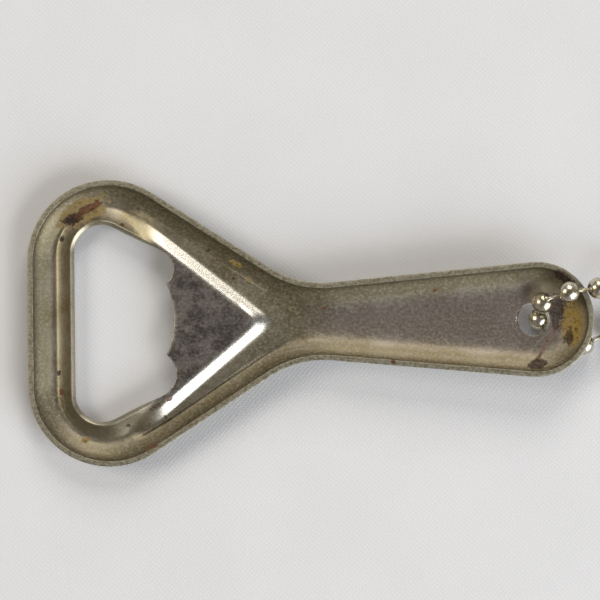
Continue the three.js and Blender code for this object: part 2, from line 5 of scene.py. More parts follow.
import bpy
import numpy as np
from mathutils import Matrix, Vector


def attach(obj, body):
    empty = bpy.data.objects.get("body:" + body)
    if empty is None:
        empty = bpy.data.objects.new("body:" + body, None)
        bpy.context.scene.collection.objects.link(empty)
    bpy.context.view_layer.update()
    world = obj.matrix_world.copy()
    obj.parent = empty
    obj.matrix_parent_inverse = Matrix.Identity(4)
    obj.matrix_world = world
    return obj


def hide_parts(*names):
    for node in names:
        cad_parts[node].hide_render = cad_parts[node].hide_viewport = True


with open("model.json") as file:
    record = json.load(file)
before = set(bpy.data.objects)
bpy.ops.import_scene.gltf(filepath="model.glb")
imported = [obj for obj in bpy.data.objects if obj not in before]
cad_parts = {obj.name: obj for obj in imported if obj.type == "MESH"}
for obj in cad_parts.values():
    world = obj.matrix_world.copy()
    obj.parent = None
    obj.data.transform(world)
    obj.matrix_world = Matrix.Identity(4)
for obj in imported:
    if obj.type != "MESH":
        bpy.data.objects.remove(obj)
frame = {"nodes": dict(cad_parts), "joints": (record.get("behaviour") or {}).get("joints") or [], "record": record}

bl_info = {
    "name": "Keychain Opener Parts",
    "version": (1, 0, 0),
    "blender": (4, 5, 0),
    "location": "View3D > Sidebar > Opener",
    "description": "Makes a pressed steel bottle opener, its ball chain and a plain stage",
    "category": "Add Mesh",
}

MM = 0.001
QUARTER = math.pi / 2
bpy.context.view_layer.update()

# Where the parts of the outline lie on the opener, in millimetres: X from the head's end, Y across
HEAD_HALF_WIDTH = 21.3
HEAD_CORNER_R = 12.1
LEG_ANGLE = math.radians(33)
NECK_R = 14.5
HANDLE_END_R = 8.5
HANDLE_FLARE = math.radians(5.2)
BAR_WIDTH = 6.7
MOUTH_HALF_WIDTH = 14.9
MOUTH_CORNER_R = 4.3
MOUTH_SLANT = math.radians(28.6)
LOBES = {1: (18.8, 8.1, 2.9), -1: (18.4, 7.6, 3.6)}
LIP_X, LIP_Y, LIP_R = 21.8, 0.6, 12.4
HOLE_TO_END = 8.8
LEG_RUN = 24.0

# Heights of the middle of the sheet over its lowest ridge, and where they change
HANDLE_LIFT = 0.3
HANDLE_WALL_WIDTH = 4.6
RING_WALL_WIDTH = 3.55
WALL_REACH = 7.0
WALL_TURN = math.radians(50)  # how much of its ellipse the wall follows
TO_HANDLE = (36, 46)  # the ring's wall turns into the handle's between these
MOUTH_RIM = 2.5
MOUTH_SLOPE = 1.2
MOUTH_CURVE = 1 / 6
MOUTH_RUN = 3.5
PLATE_HEIGHT = 2.2
PLATE_TIP_X = 34.1
PLATE_TIP_ROUND = 2.2
TO_PLATE = (14.5, 20.5)  # the mouth's edge turns into the plate between these
PLATE_UPPER_ANGLE = math.radians(38.3)
PLATE_LOWER_ANGLE = math.radians(40.3)
PLATE_STEP = 1.5
PLATE_STEP_SLOPE = 0.62
FIELD_SLOPE = 0.15
FIELD_END = 4.5  # distance from the plate where the field falls faster
FIELD_END_SLOPE = 0.5
FLOOR_DEPTH = 1.0
TO_FLOOR = (33, 37)  # the handle's floor comes up between these
CREASE_ROUND = 0.35
RAMP_ROUND = 0.15  # share of a step that is rounded over at each end
SLOPE_STEP = 0.12  # distance over which a slope is measured


# ---- Sizes and colours that a user would change ----

class OpenerSizes(bpy.types.PropertyGroup):
    length: bpy.props.FloatProperty(
        name="Length", description="Head's end to handle's end", default=84 * MM, unit="LENGTH")
    depth: bpy.props.FloatProperty(
        name="Depth", description="Rim plane over the lowest ridge", default=3.4 * MM, unit="LENGTH")
    sheet: bpy.props.FloatProperty(
        name="Sheet", description="Thickness of the steel", default=0.8 * MM, unit="LENGTH")
    edge_round: bpy.props.FloatProperty(
        name="Edge round", description="How far the cut edge is rounded over", default=0.09 * MM,
        unit="LENGTH")
    hole_radius: bpy.props.FloatProperty(
        name="Key hole radius", description="Radius of the key hole", default=2.435 * MM,
        unit="LENGTH")


class ChainSizes(bpy.types.PropertyGroup):
    bead_radius: bpy.props.FloatProperty(
        name="Bead radius", description="Outside radius of a bead", default=1.5875 * MM,
        unit="LENGTH")
    bead_wall: bpy.props.FloatProperty(
        name="Bead wall", description="Thickness of a bead's shell", default=0.2175 * MM,
        unit="LENGTH")
    bead_hole: bpy.props.FloatProperty(
        name="Bead hole", description="Radius of the holes in a bead", default=0.66 * MM,
        unit="LENGTH")
    rod: bpy.props.FloatProperty(
        name="Link rod", description="Radius of a link's rod", default=0.25 * MM, unit="LENGTH")
    head: bpy.props.FloatProperty(
        name="Link head", description="Radius of a link's heads", default=0.7 * MM, unit="LENGTH")


class Colours(bpy.types.PropertyGroup):
    steel: bpy.props.FloatVectorProperty(
        name="Steel", description="Nickel plate of the opener", default=(0.37, 0.325, 0.235),
        subtype="COLOR", size=3, min=0, max=1)
    bead: bpy.props.FloatVectorProperty(
        name="Beads", description="Nickel plate of the beads", default=(0.62, 0.58, 0.49),
        subtype="COLOR", size=3, min=0, max=1)
    cloth: bpy.props.FloatVectorProperty(
        name="Cloth", description="Pale cloth under the opener", default=(0.675, 0.672, 0.685),
        subtype="COLOR", size=3, min=0, max=1)


# ---- Lines of points ----

def arc(x, y, r, start, stop, count):
    """Points at even angles on a circle."""
    t = np.linspace(start, stop, count)
    return np.column_stack([x + r * np.cos(t), y + r * np.sin(t)])


def along(line, lengths):
    """Points at given lengths along a line of points."""
    run = np.concatenate([[0], np.cumsum(np.linalg.norm(np.diff(line, axis=0), axis=1))])
    return np.column_stack([np.interp(lengths, run, line[:, k]) for k in (0, 1)])


def total_length(line):
    return np.linalg.norm(np.diff(line, axis=0), axis=1).sum()


def even(line, count):
    """The same line with its points at even spacing."""
    return along(line, np.linspace(0, total_length(line), count))


def normals_of(line):
    """Unit vectors square to a line of points, on its right-hand side."""
    way = np.gradient(line, axis=0)
    way /= np.linalg.norm(way, axis=1)[:, None]
    return np.column_stack([way[:, 1], -way[:, 0]])


def distance(line, points):
    """Distance of each point from a closed line: the least over its straight pieces."""
    a = line
    d = np.roll(line, -1, axis=0) - line
    square = np.maximum((d ** 2).sum(1), 1e-12)
    out = []
    for chunk in np.array_split(points, max(1, len(points) // 3000)):
        from_a = chunk[:, None] - a[None]
        t = np.clip((from_a * d).sum(2) / square, 0, 1)
        out.append(np.sqrt(((from_a - t[..., None] * d) ** 2).sum(2).min(1)))
    return np.concatenate(out)


def smooth(a, b, v):
    """0 below a, 1 above b, and a smooth rise between."""
    t = np.clip((v - a) / (b - a), 0, 1)
    return t * t * (3 - 2 * t)


# ---- The opener's outlines ----

class Outline:
    """The outline and the edge of the mouth: straight pieces joined by arcs that they touch."""

    def __init__(self, sizes):
        self.length = sizes.length / MM
        self.depth = sizes.depth / MM
        self.sheet = sizes.sheet / MM
        self.edge = sizes.edge_round / MM
        self.hole_r = sizes.hole_radius / MM
        self.hole_x = self.length - HOLE_TO_END
        self.end_x = self.length - HANDLE_END_R
        upper = self.outer(400)
        self.outer_line = np.vstack([upper, upper[-2:0:-1] * (1, -1)])
        top, bottom = self.mouth(1, 300), self.mouth(-1, 300)
        self.mouth_line = np.vstack([top, bottom[-2:0:-1]])

    def head(self, bar, corner):
        """Half of the head's end, then its round corner."""
        y = HEAD_HALF_WIDTH - HEAD_CORNER_R
        straight = np.linspace((0, 0), (0, y), bar, endpoint=False)
        turn = arc(HEAD_CORNER_R, y, HEAD_CORNER_R, math.pi, QUARTER - LEG_ANGLE, corner)
        return np.vstack([straight, turn])

    def flank(self):
        """The leg, the hollow neck and the handle's side, up to the round end."""
        start = self.head(2, 3)[-1]
        leg = np.array([math.cos(LEG_ANGLE), -math.sin(LEG_ANGLE)])
        side = np.array([math.cos(HANDLE_FLARE), math.sin(HANDLE_FLARE)])
        stop = np.array([self.end_x, 0]) + HANDLE_END_R * np.array([-side[1], side[0]])
        gap = stop - start
        reach = (gap[0] * side[1] - gap[1] * side[0]) / (leg[0] * side[1] - leg[1] * side[0])
        bend = start + reach * leg
        leg_end = bend - leg * NECK_R * math.tan((LEG_ANGLE + HANDLE_FLARE) / 2)
        centre = leg_end + NECK_R * np.array([-leg[1], leg[0]])
        neck = arc(*centre, NECK_R, -QUARTER - LEG_ANGLE, -QUARTER + HANDLE_FLARE, 80)
        return np.vstack([start, neck, stop])

    def end(self, count):
        return arc(self.end_x, 0, HANDLE_END_R, QUARTER + HANDLE_FLARE, 0, count)

    def outer(self, count):
        return even(np.vstack([self.head(2, 80), self.flank()[1:], self.end(80)[1:]]), count)

    def tooth(self, side):
        """Where a lobe's circle meets the lip's: the point of a tooth, mirrored to the top."""
        x, y, r = LOBES[side]
        centre = np.array([LIP_X - LIP_R, LIP_Y * side])
        apart = np.hypot(x - centre[0], y - centre[1])
        reach = (apart ** 2 + LIP_R ** 2 - r ** 2) / (2 * apart)
        off = math.sqrt(LIP_R ** 2 - reach ** 2)
        way = (np.array([x, y]) - centre) / apart
        return centre + way * reach + off * np.array([way[1], -way[0]])

    def mouth_head(self, bar, corner):
        y = MOUTH_HALF_WIDTH - MOUTH_CORNER_R
        straight = np.linspace((BAR_WIDTH, 0), (BAR_WIDTH, y), bar, endpoint=False)
        x = BAR_WIDTH + MOUTH_CORNER_R
        turn = arc(x, y, MOUTH_CORNER_R, math.pi, QUARTER - MOUTH_SLANT, corner)
        return np.vstack([straight, turn])

    def mouth_tail(self, side):
        """The mouth's slanted side, lobe, tooth and half of its lip, mirrored to the top."""
        x, y, r = LOBES[side]
        tip = self.tooth(side)
        lobe = arc(x, y, r, QUARTER - MOUTH_SLANT, math.atan2(tip[1] - y, tip[0] - x), 50)
        centre = np.array([LIP_X - LIP_R, LIP_Y * side])
        lip = arc(*centre, LIP_R, math.atan2(tip[1] - centre[1], tip[0] - centre[0]), 0, 50)
        return np.vstack([self.mouth_head(2, 3)[-1], lobe, lip[1:]])

    def mouth(self, side, count):
        line = np.vstack([self.mouth_head(2, 60), self.mouth_tail(side)[1:]])
        return even(line, count) * (1, side)

    def stations(self, side):
        """Matched points on the outline and on the inner edge, with the ways into the sheet.

        The inner edge is the mouth, then the middle of the handle, then the key hole. The last
        result says which stations have an open edge there.
        """
        outer_head = self.head(40, 90)
        inner_head = self.mouth_head(40, 90)
        tail = even(self.mouth_tail(side), 161)[1:]
        flank = self.flank()
        tail_out = along(flank, LEG_RUN * np.arange(1, len(tail) + 1) / len(tail))
        slit_from = np.array([LIP_X + self.edge, LIP_Y * side])
        slit_to = np.array([self.hole_x - self.hole_r - self.edge, 0])
        slit = np.linspace(slit_from, slit_to, 171)[1:]
        slit_out = along(flank, np.linspace(LEG_RUN, total_length(flank), 171)[1:])
        hole = arc(self.hole_x, 0, self.hole_r, math.pi, 0, 71)[1:]
        hole_out = self.end(71)[1:]
        outer = np.vstack([outer_head, tail_out, slit_out, hole_out])
        dense = self.outer(4000)
        dense_way = normals_of(dense)
        nearest = np.abs(((outer[:, None] - dense[None]) ** 2).sum(2)).argmin(1)
        into = dense_way[nearest]
        mouth = np.vstack([inner_head, tail])
        mouth_way = -normals_of(mouth)
        mouth_way[0] = (-1, 0)
        mouth_way[-1] = (1, 0)
        hole_way = (hole - (self.hole_x, 0)) / self.hole_r
        inner = np.vstack([mouth + mouth_way * self.edge, slit, hole + hole_way * self.edge])
        edge_way = np.vstack([-mouth_way, np.tile([0.0, 1.0], (len(slit), 1)), -hole_way])
        is_open = np.ones(len(outer), bool)
        is_open[len(mouth):len(mouth) + len(slit) - 1] = False
        flip = np.array([1, side])
        return outer * flip, into * flip, inner * flip, edge_way * flip, is_open

    # Heights of the middle of the sheet

    def wall_span(self, x):
        """Height that the wall's ellipse spans: it lands on the ring's crease or on the floor."""
        share = smooth(*TO_HANDLE, x)
        half = self.sheet / 2
        ring = (self.depth - half) / math.sqrt(1 - (1 - RING_WALL_WIDTH / WALL_REACH) ** 2)
        low = self.depth - HANDLE_LIFT - half
        handle = low / math.sqrt(1 - (1 - HANDLE_WALL_WIDTH / WALL_REACH) ** 2)
        return ring + (handle - ring) * share

    def features(self, points):
        """Heights of the wall, the inner surface and the handle's floor at each point.

        The inner surface is the mouth's turned-up edge, which turns into the tooth plate.
        """
        x, y = points.T
        outside = distance(self.outer_line, points)
        inside = distance(self.mouth_line, points)
        u = np.clip(1 - (outside - self.sheet / 2) / WALL_REACH, 0, 1)
        wall = self.depth - self.wall_span(x) * np.sqrt(1 - u * u)
        d = np.minimum(inside, MOUTH_RUN)
        mouth = MOUTH_RIM - MOUTH_SLOPE * d + MOUTH_CURVE * d * d
        out = self.beyond_plate(points)
        step = PLATE_STEP * PLATE_STEP_SLOPE * soft_ramp(out / PLATE_STEP)
        field = np.maximum(out - PLATE_STEP, 0) * FIELD_SLOPE
        field += np.maximum(out - FIELD_END, 0) * FIELD_END_SLOPE
        plate = PLATE_HEIGHT - step - field
        share = smooth(*TO_PLATE, x)
        inner = mouth + (plate - mouth) * share
        rise = FLOOR_DEPTH + HANDLE_LIFT + self.sheet / 2
        floor = rise * smooth(*TO_FLOOR, x) - FLOOR_DEPTH
        return wall, inner, floor

    def beyond_plate(self, points):
        """Distance beyond the edges of the tooth plate, negative on it; its tip is rounded."""
        x, y = points.T
        behind = x - PLATE_TIP_X
        upper = behind * math.sin(PLATE_UPPER_ANGLE) + y * math.cos(PLATE_UPPER_ANGLE)
        lower = behind * math.sin(PLATE_LOWER_ANGLE) - y * math.cos(PLATE_LOWER_ANGLE)
        return higher(upper, lower, PLATE_TIP_ROUND)

    def middle(self, points):
        """Height of the middle of the sheet: the highest feature, creases rounded over."""
        wall, inner, floor = self.features(points)
        return higher(higher(wall, inner), floor)


def soft_ramp(t):
    """0 to 1 as t goes from 0 to 1, with both ends rounded over a little."""
    def ease(v):
        v = np.clip(v, -RAMP_ROUND, 0.5)
        return np.where(v < RAMP_ROUND, (v + RAMP_ROUND) ** 2 / (4 * RAMP_ROUND), v)

    low = ease(t)
    high = 1 - ease(1 - t)
    return np.where(t < 0.5, low, high)


def higher(a, b, round_over=CREASE_ROUND):
    """The higher of two heights, with the crease between them rounded over."""
    near = np.maximum(round_over - np.abs(a - b), 0) / round_over
    return np.maximum(a, b) + near * near * round_over / 4


# ---- Meshes from grids ----

def to_row(points):
    """From the opener's own millimetres to the row's metres: turned and moved as it lies."""
    mount = next(m for m in frame["record"]["mounts"] if m["name"] == "rim_plane")
    nx, _, nz = mount["axis"]
    turn = np.array([[nz, 0, nx], [0, 1, 0], [-nx, 0, nz]])
    sizes = bpy.context.scene.opener_sizes
    on_rim = np.array([sizes.sheet / 2, 0, sizes.depth])
    origin = np.array(mount["pos_m"]) - turn @ on_rim
    return points * MM @ turn.T + origin, origin, math.atan2(nx, nz)


def add_mesh(name, points, faces, values=None, body=None, replaced=()):
    """A mesh object from arrays. Points in one place become one, and empty faces go."""
    key = np.round(points / 2e-7).astype(np.int64)
    _, first, place = np.unique(key, axis=0, return_index=True, return_inverse=True)
    place = place.ravel()
    quads = place[faces]
    rolled = np.roll(quads, -1, axis=1)
    keep = (quads != rolled).sum(1) >= 3
    opposite = (quads[:, 0] != quads[:, 2]) & (quads[:, 1] != quads[:, 3])
    quads = quads[keep & opposite]
    lists = [list(dict.fromkeys(q)) for q in quads.tolist()]
    mesh = bpy.data.meshes.new(name)
    mesh.from_pydata(points[first], [], lists)
    mesh.update()
    for label, array in (values or {}).items():
        layer = mesh.attributes.new(label, "FLOAT", "POINT")
        layer.data.foreach_set("value", np.ascontiguousarray(array[first], np.float32))
    mesh.shade_smooth()
    piece = bpy.data.objects.new(name, mesh)
    bpy.context.scene.collection.objects.link(piece)
    if body:
        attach(piece, body)
    if len(replaced):
        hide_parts(*replaced)
    return piece


def grid_faces(rows, columns, offset=0, flip=False):
    """Quads between the neighbours of a grid of points laid out row by row."""
    r, c = np.meshgrid(np.arange(rows - 1), np.arange(columns - 1), indexing="ij")
    a = (r * columns + c).ravel() + offset
    quads = np.column_stack([a, a + 1, a + columns + 1, a + columns])
    return quads[:, ::-1] if flip else quads


# ---- The opener ----

WALL_LEVELS = 16
INNER_LEVELS = 25
EDGE_LEVELS = 6


def edge_section(middle, normal, way, half, bulge):
    """Across a cut edge from one face to the other: a rounded square section.

    Each point is the edge's middle plus half the thickness times a rounded cosine along the
    sheet's normal, plus the bulge times a rounded sine along the way out of the edge.
    """
    t = np.linspace(0, math.pi, EDGE_LEVELS + 2)[1:-1]
    c = np.sign(np.cos(t)) * np.abs(np.cos(t)) ** 0.45
    s = np.abs(np.sin(t)) ** 0.6
    return (middle[:, None] + normal[:, None] * c[None, :, None] * half
            + way[:, None] * s[None, :, None] * bulge)


def sheet_half(outline, side):
    """One half of the pressed sheet as a grid: both faces and the edges, station by station.

    The wall is a quarter ellipse from the rim inwards. Inside it the sheet's height is a
    function of x and y. Both faces lie half the thickness from the middle along its normal.
    """
    outer, into, inner, edge_way, is_open = outline.stations(side)
    half = outline.sheet / 2
    count = len(outer)
    span = outline.wall_span(outer[:, 0])
    start = np.arcsin(outline.edge / span)
    spread = np.linspace(0, 1, WALL_LEVELS) ** 1.1
    turn = start[:, None] + (WALL_TURN - start[:, None]) * spread
    inset = half + WALL_REACH * (1 - np.cos(turn))
    xy = outer[:, None] + into[:, None] * inset[..., None]
    height = outline.depth - span[:, None] * np.sin(turn)
    wall = np.concatenate([xy, height[..., None]], axis=2)
    rise = np.stack([span[:, None] * np.cos(turn), WALL_REACH * np.sin(turn)], axis=2)
    rise /= np.linalg.norm(rise, axis=2)[..., None]
    wall_normal = np.concatenate([into[:, None] * rise[..., :1], rise[..., 1:]], axis=2)

    share = np.linspace(0, 1, INNER_LEVELS + 1)[1:]
    flat = xy[:, -1:] + (inner[:, None] - xy[:, -1:]) * share[None, :, None]
    points = flat.reshape(-1, 2)
    slopes = []
    for step in ((SLOPE_STEP, 0), (0, SLOPE_STEP)):
        change = outline.middle(points + step) - outline.middle(points - step)
        slopes.append(change / (2 * SLOPE_STEP))
    floor = np.column_stack([points, outline.middle(points)]).reshape(count, -1, 3)
    floor_normal = np.column_stack([-slopes[0], -slopes[1], np.ones(len(points))])
    floor_normal /= np.linalg.norm(floor_normal, axis=1)[:, None]
    floor_normal = floor_normal.reshape(count, -1, 3)

    middle = np.concatenate([wall, floor], axis=1)
    normal = np.concatenate([wall_normal, floor_normal], axis=1)
    hollow = middle + normal * half
    convex = middle - normal * half
    rim_way = np.column_stack([-into * rise[:, 0, 1:], rise[:, 0, 0]])
    rim = edge_section(middle[:, 0], -normal[:, 0], rim_way, half, outline.edge)
    last = normal[:, -1]
    way = np.column_stack([edge_way, np.zeros(count)])
    way -= (way * last).sum(1)[:, None] * last
    way /= np.linalg.norm(way, axis=1)[:, None]
    lip = edge_section(middle[:, -1], last, way, half, outline.edge)
    lip[~is_open] = hollow[~is_open, -1:]
    ring = np.concatenate([rim, hollow, lip, convex[:, ::-1]], axis=1)
    levels = ring.shape[1]
    ring = np.concatenate([ring, ring[:, :1]], axis=1)
    is_hollow = np.zeros((count, levels + 1))
    is_hollow[:, EDGE_LEVELS // 2:EDGE_LEVELS + hollow.shape[1] + EDGE_LEVELS // 2] = 1
    cut = np.zeros((count, levels + 1))
    cut[:, :EDGE_LEVELS] = 1
    cut[:, -1] = 1
    cut[is_open, EDGE_LEVELS + hollow.shape[1]:EDGE_LEVELS * 2 + hollow.shape[1]] = 1

    faces = grid_faces(count, levels + 1, flip=side < 0)
    # at the middle line of the handle the halves join, so no edge is built there
    column = faces.min(axis=1) % (levels + 1)
    station = faces.min(axis=1) // (levels + 1)
    first, stop = EDGE_LEVELS + hollow.shape[1] - 1, EDGE_LEVELS * 2 + hollow.shape[1]
    joined = ~(is_open[station] & is_open[np.minimum(station + 1, count - 1)])
    closed_over = joined & (column >= first) & (column < stop)
    return ring.reshape(-1, 3), faces[~closed_over], is_hollow.ravel(), cut.ravel()


class OPENER_OT_sheet(bpy.types.Operator):
    """Make the pressed sheet of the opener"""
    bl_idname = "opener.sheet"
    bl_label = "Pressed Sheet"

    def execute(self, context):
        outline = Outline(context.scene.opener_sizes)
        top, top_faces, top_hollow, top_cut = sheet_half(outline, 1)
        low, low_faces, low_hollow, low_cut = sheet_half(outline, -1)
        points = np.vstack([top, low])
        faces = np.vstack([top_faces, low_faces + len(top)])
        values = {
            "hollow": np.concatenate([top_hollow, low_hollow]),
            "cut_edge": np.concatenate([top_cut, low_cut]),
            "inset": distance(outline.outer_line, points[:, :2]),
            "beyond_plate": outline.beyond_plate(points[:, :2]),
        }
        placed, origin, tilt = to_row(points)
        piece = add_mesh("pressed_sheet", placed, faces, values, "opener_body",
                         ["opener_body"])
        piece.data.materials.append(worn_nickel(context.scene.opener_colours, origin, tilt))
        return {"FINISHED"}


# ---- Chain pieces, turned round an axis ----

def frames_of(axis):
    """Two unit vectors square to an axis and to each other."""
    axis = np.asarray(axis, float)
    other = np.array([0, 0, 1.0]) if abs(axis[2]) < 0.9 else np.array([1.0, 0, 0])
    side = np.cross(axis, other)
    side /= np.linalg.norm(side)
    return side, np.cross(side, axis)


def turned(profile, centre, axis, sides, dent=None):
    """A profile of (radius, height) points carried round an axis.

    dent gives, for each angle, a factor for the radius, such as a seam.
    """
    side, up = frames_of(axis)
    angle = np.linspace(0, 2 * math.pi, sides + 1)
    factor = np.ones_like(angle) if dent is None else dent(angle)
    radius = profile[:, 0][:, None] * factor[None]
    ring = np.cos(angle)[None, :, None] * side + np.sin(angle)[None, :, None] * up
    points = centre + radius[..., None] * ring + profile[:, 1][:, None, None] * np.asarray(axis)
    points[:, -1] = points[:, 0]
    return points.reshape(-1, 3), grid_faces(len(profile), sides + 1)


def bead_profile(sizes):
    """A hollow ball's section: out round the outside from hole to hole, and back inside.

    At each hole the shell ends in a short edge that runs along the axis.
    """
    r, hole, wall = sizes.bead_radius, sizes.bead_hole, sizes.bead_wall
    limit = math.acos(hole / r)
    t = np.linspace(-limit, limit, 27)
    outside = np.column_stack([r * np.cos(t), r * np.sin(t)])
    inner = r - wall
    limit = math.acos(hole / inner)
    t = np.linspace(limit, -limit, 15)
    inside = np.column_stack([inner * np.cos(t), inner * np.sin(t)])
    profile = np.vstack([outside, inside])
    return np.vstack([profile, profile[:1]])


def link_profile(sizes, span):
    """A round head, a rod and a round head, from one end of the axis to the other."""
    neck = math.asin(sizes.rod / sizes.head)
    t = np.linspace(-QUARTER, QUARTER - neck, 12)
    low = np.column_stack([sizes.head * np.cos(t), sizes.head * np.sin(t) - span / 2])
    high = np.column_stack([low[::-1, 0], -low[::-1, 1]])
    low[0, 0] = high[-1, 0] = 0
    return np.vstack([low, high])


def seam(angle):
    """A shallow groove where the rolled shell of a bead meets itself."""
    return 1 - 0.018 * np.exp(-((np.mod(angle, 2 * math.pi) - 2.2) / 0.05) ** 2)


def pivots():
    """Each chain joint's place, by the name of the body that it carries."""
    return {j["child"]: np.array(j["pos_m"]) for j in frame["joints"] if "pos_m" in j}


def chain_layout():
    """Centre and axis of every bead and link, from the joints that hold them.

    A link lies between its own pivot and the next bead's. A bead lies between the pivots of
    the two links whose heads it holds, and the last bead lies in line with its link.
    """
    at = pivots()
    beads, links = {}, {}
    seat = None
    for strand in ("upper", "lower"):
        names = sorted(n for n in at if n.startswith(f"{strand}_link_"))
        for name in names:
            bead = name.replace("link", "bead")
            start, stop = at[name], at[bead]
            way = (stop - start) / np.linalg.norm(stop - start)
            links[name] = ((start + stop) / 2, way, np.linalg.norm(stop - start))
        for name, after in zip(names, names[1:] + [None]):
            bead = name.replace("link", "bead")
            if after:
                centre = (at[bead] + at[after]) / 2
                way = at[after] - at[bead]
                seat = np.linalg.norm(way) / 2
                beads[bead] = (centre, way / np.linalg.norm(way))
            else:
                beads[bead] = (at[bead] + seat * links[name][1], links[name][1])
    ends = at["upper_link_01"], at["lower_link_01"]
    way = ends[0] - ends[1]
    beads["hole_bead"] = ((ends[0] + ends[1]) / 2, way / np.linalg.norm(way))
    return beads, links


class OPENER_OT_beads(bpy.types.Operator):
    """Make the hollow beads of the chain"""
    bl_idname = "opener.beads"
    bl_label = "Beads"

    def execute(self, context):
        sizes = context.scene.chain_sizes
        finish = bright_nickel("bead_nickel", context.scene.opener_colours.bead, 0.2)
        profile = bead_profile(sizes)
        beads, _ = chain_layout()
        for name, (centre, way) in beads.items():
            points, faces = turned(profile, centre, way, 48, seam)
            piece = add_mesh(name + "_shell", points, faces, None, name, [name])
            piece.data.materials.append(finish)
        return {"FINISHED"}


class OPENER_OT_links(bpy.types.Operator):
    """Make the wire links between the beads"""
    bl_idname = "opener.links"
    bl_label = "Links"

    def execute(self, context):
        sizes = context.scene.chain_sizes
        finish = bright_nickel("link_steel", (0.42, 0.38, 0.31), 0.34)
        _, links = chain_layout()
        for name, (centre, way, span) in links.items():
            points, faces = turned(link_profile(sizes, span), centre, way, 28)
            piece = add_mesh(name + "_wire", points, faces, None, name, [name])
            piece.data.materials.append(finish)
        return {"FINISHED"}


# ---- Shader groups ----

def put(tree, kind, inputs=None, **settings):
    """A node with its settings and inputs. An input is a value or another node's socket."""
    node = tree.nodes.new(kind)
    for key, value in settings.items():
        setattr(node, key, value)
    for key, value in (inputs or {}).items():
        if isinstance(value, bpy.types.NodeSocket):
            tree.links.new(value, node.inputs[key])
        else:
            node.inputs[key].default_value = value
    return node


def new_group(name, inputs, outputs):
    """An empty node group with named inputs, each (kind, default), and named outputs."""
    tree = bpy.data.node_groups.new(name, "ShaderNodeTree")
    for label, (kind, default) in inputs.items():
        socket = tree.interface.new_socket(label, in_out="INPUT", socket_type=kind)
        if default is not None:
            socket.default_value = default
    for label, kind in outputs.items():
        tree.interface.new_socket(label, in_out="OUTPUT", socket_type=kind)
    return tree, tree.nodes.new("NodeGroupInput").outputs, tree.nodes.new("NodeGroupOutput").inputs


def use(tree, group, inputs=None):
    return put(tree, "ShaderNodeGroup", inputs, node_tree=group)


def math_node(tree, operation, a, b=0.0, clamp=False):
    return put(tree, "ShaderNodeMath", {0: a, 1: b}, operation=operation, use_clamp=clamp).outputs[0]


def blend_colour(tree, share, a, b, kind="MIX"):
    """Mixes two colours by a share: kind is the way that they blend."""
    node = put(tree, "ShaderNodeMix", data_type="RGBA", blend_type=kind)
    for key, value in ((0, share), (6, a), (7, b)):
        if isinstance(value, bpy.types.NodeSocket):
            tree.links.new(value, node.inputs[key])
        else:
            node.inputs[key].default_value = value
    return node.outputs[2]


def ramp(tree, value, low, high, to_low=0.0, to_high=1.0):
    """A smooth step of a value from one range to another."""
    node = put(tree, "ShaderNodeMapRange",
               {"Value": value, "From Min": low, "From Max": high, "To Min": to_low, "To Max": to_high},
               interpolation_type="SMOOTHSTEP")
    return node.outputs[0]


def noise(tree, vector, scale, detail=3.0, rough=0.55, distortion=0.0):
    return put(tree, "ShaderNodeTexNoise",
               {"Vector": vector, "Scale": scale, "Detail": detail, "Roughness": rough,
                "Distortion": distortion}).outputs["Fac"]


def patch_group():
    """A ragged oval patch at a place on the sheet: 1 inside, 0 outside."""
    tree, take, give = new_group(
        "ragged_patch",
        {"Vector": ("NodeSocketVector", None), "Centre": ("NodeSocketVector", None),
         "Half size": ("NodeSocketVector", (1, 1, 1)), "Turn": ("NodeSocketFloat", 0.0),
         "Ragged": ("NodeSocketFloat", 0.5), "Grain": ("NodeSocketFloat", 1.0)},
        {"Mask": "NodeSocketFloat"})
    flat = put(tree, "ShaderNodeVectorMath", {0: take["Vector"], 1: take["Centre"]},
               operation="SUBTRACT").outputs[0]
    flat = put(tree, "ShaderNodeVectorMath", {0: flat, 1: (1, 1, 0)}, operation="MULTIPLY").outputs[0]
    level = put(tree, "ShaderNodeVectorRotate", {"Vector": flat, "Angle": take["Turn"]},
                rotation_type="Z_AXIS").outputs[0]
    scaled = put(tree, "ShaderNodeVectorMath", {0: level, 1: take["Half size"]},
                 operation="DIVIDE").outputs[0]
    reach = put(tree, "ShaderNodeVectorMath", {0: scaled}, operation="LENGTH").outputs["Value"]
    rough = noise(tree, take["Vector"], take["Grain"], 5.0, 0.65)
    centred = math_node(tree, "SUBTRACT", rough, 0.5)
    pushed = math_node(tree, "MULTIPLY", centred, take["Ragged"])
    pushed = math_node(tree, "MULTIPLY", pushed, 4.0)
    edge = math_node(tree, "ADD", reach, pushed)
    tree.links.new(ramp(tree, edge, 1.1, 0.7), give["Mask"])
    return tree


def speckle_group():
    """Small round specks of many sizes, scattered by cells: 1 on a speck."""
    tree, take, give = new_group(
        "specks",
        {"Vector": ("NodeSocketVector", None), "Spacing": ("NodeSocketFloat", 1.0),
         "Share": ("NodeSocketFloat", 0.3)},
        {"Mask": "NodeSocketFloat"})
    scale = math_node(tree, "DIVIDE", 1.0, take["Spacing"])
    cells = put(tree, "ShaderNodeTexVoronoi", {"Vector": take["Vector"], "Scale": scale})
    lot = put(tree, "ShaderNodeSeparateColor", {"Color": cells.outputs["Color"]})
    size = math_node(tree, "MULTIPLY", lot.outputs[0], 0.22)
    size = math_node(tree, "ADD", size, 0.05)
    chosen = math_node(tree, "LESS_THAN", lot.outputs[1], take["Share"])
    inner = math_node(tree, "MULTIPLY", size, 0.5)
    node = put(tree, "ShaderNodeMapRange",
               {"Value": cells.outputs["Distance"], "From Min": size, "From Max": inner},
               interpolation_type="SMOOTHSTEP")
    tree.links.new(math_node(tree, "MULTIPLY", node.outputs[0], chosen), give["Mask"])
    return tree


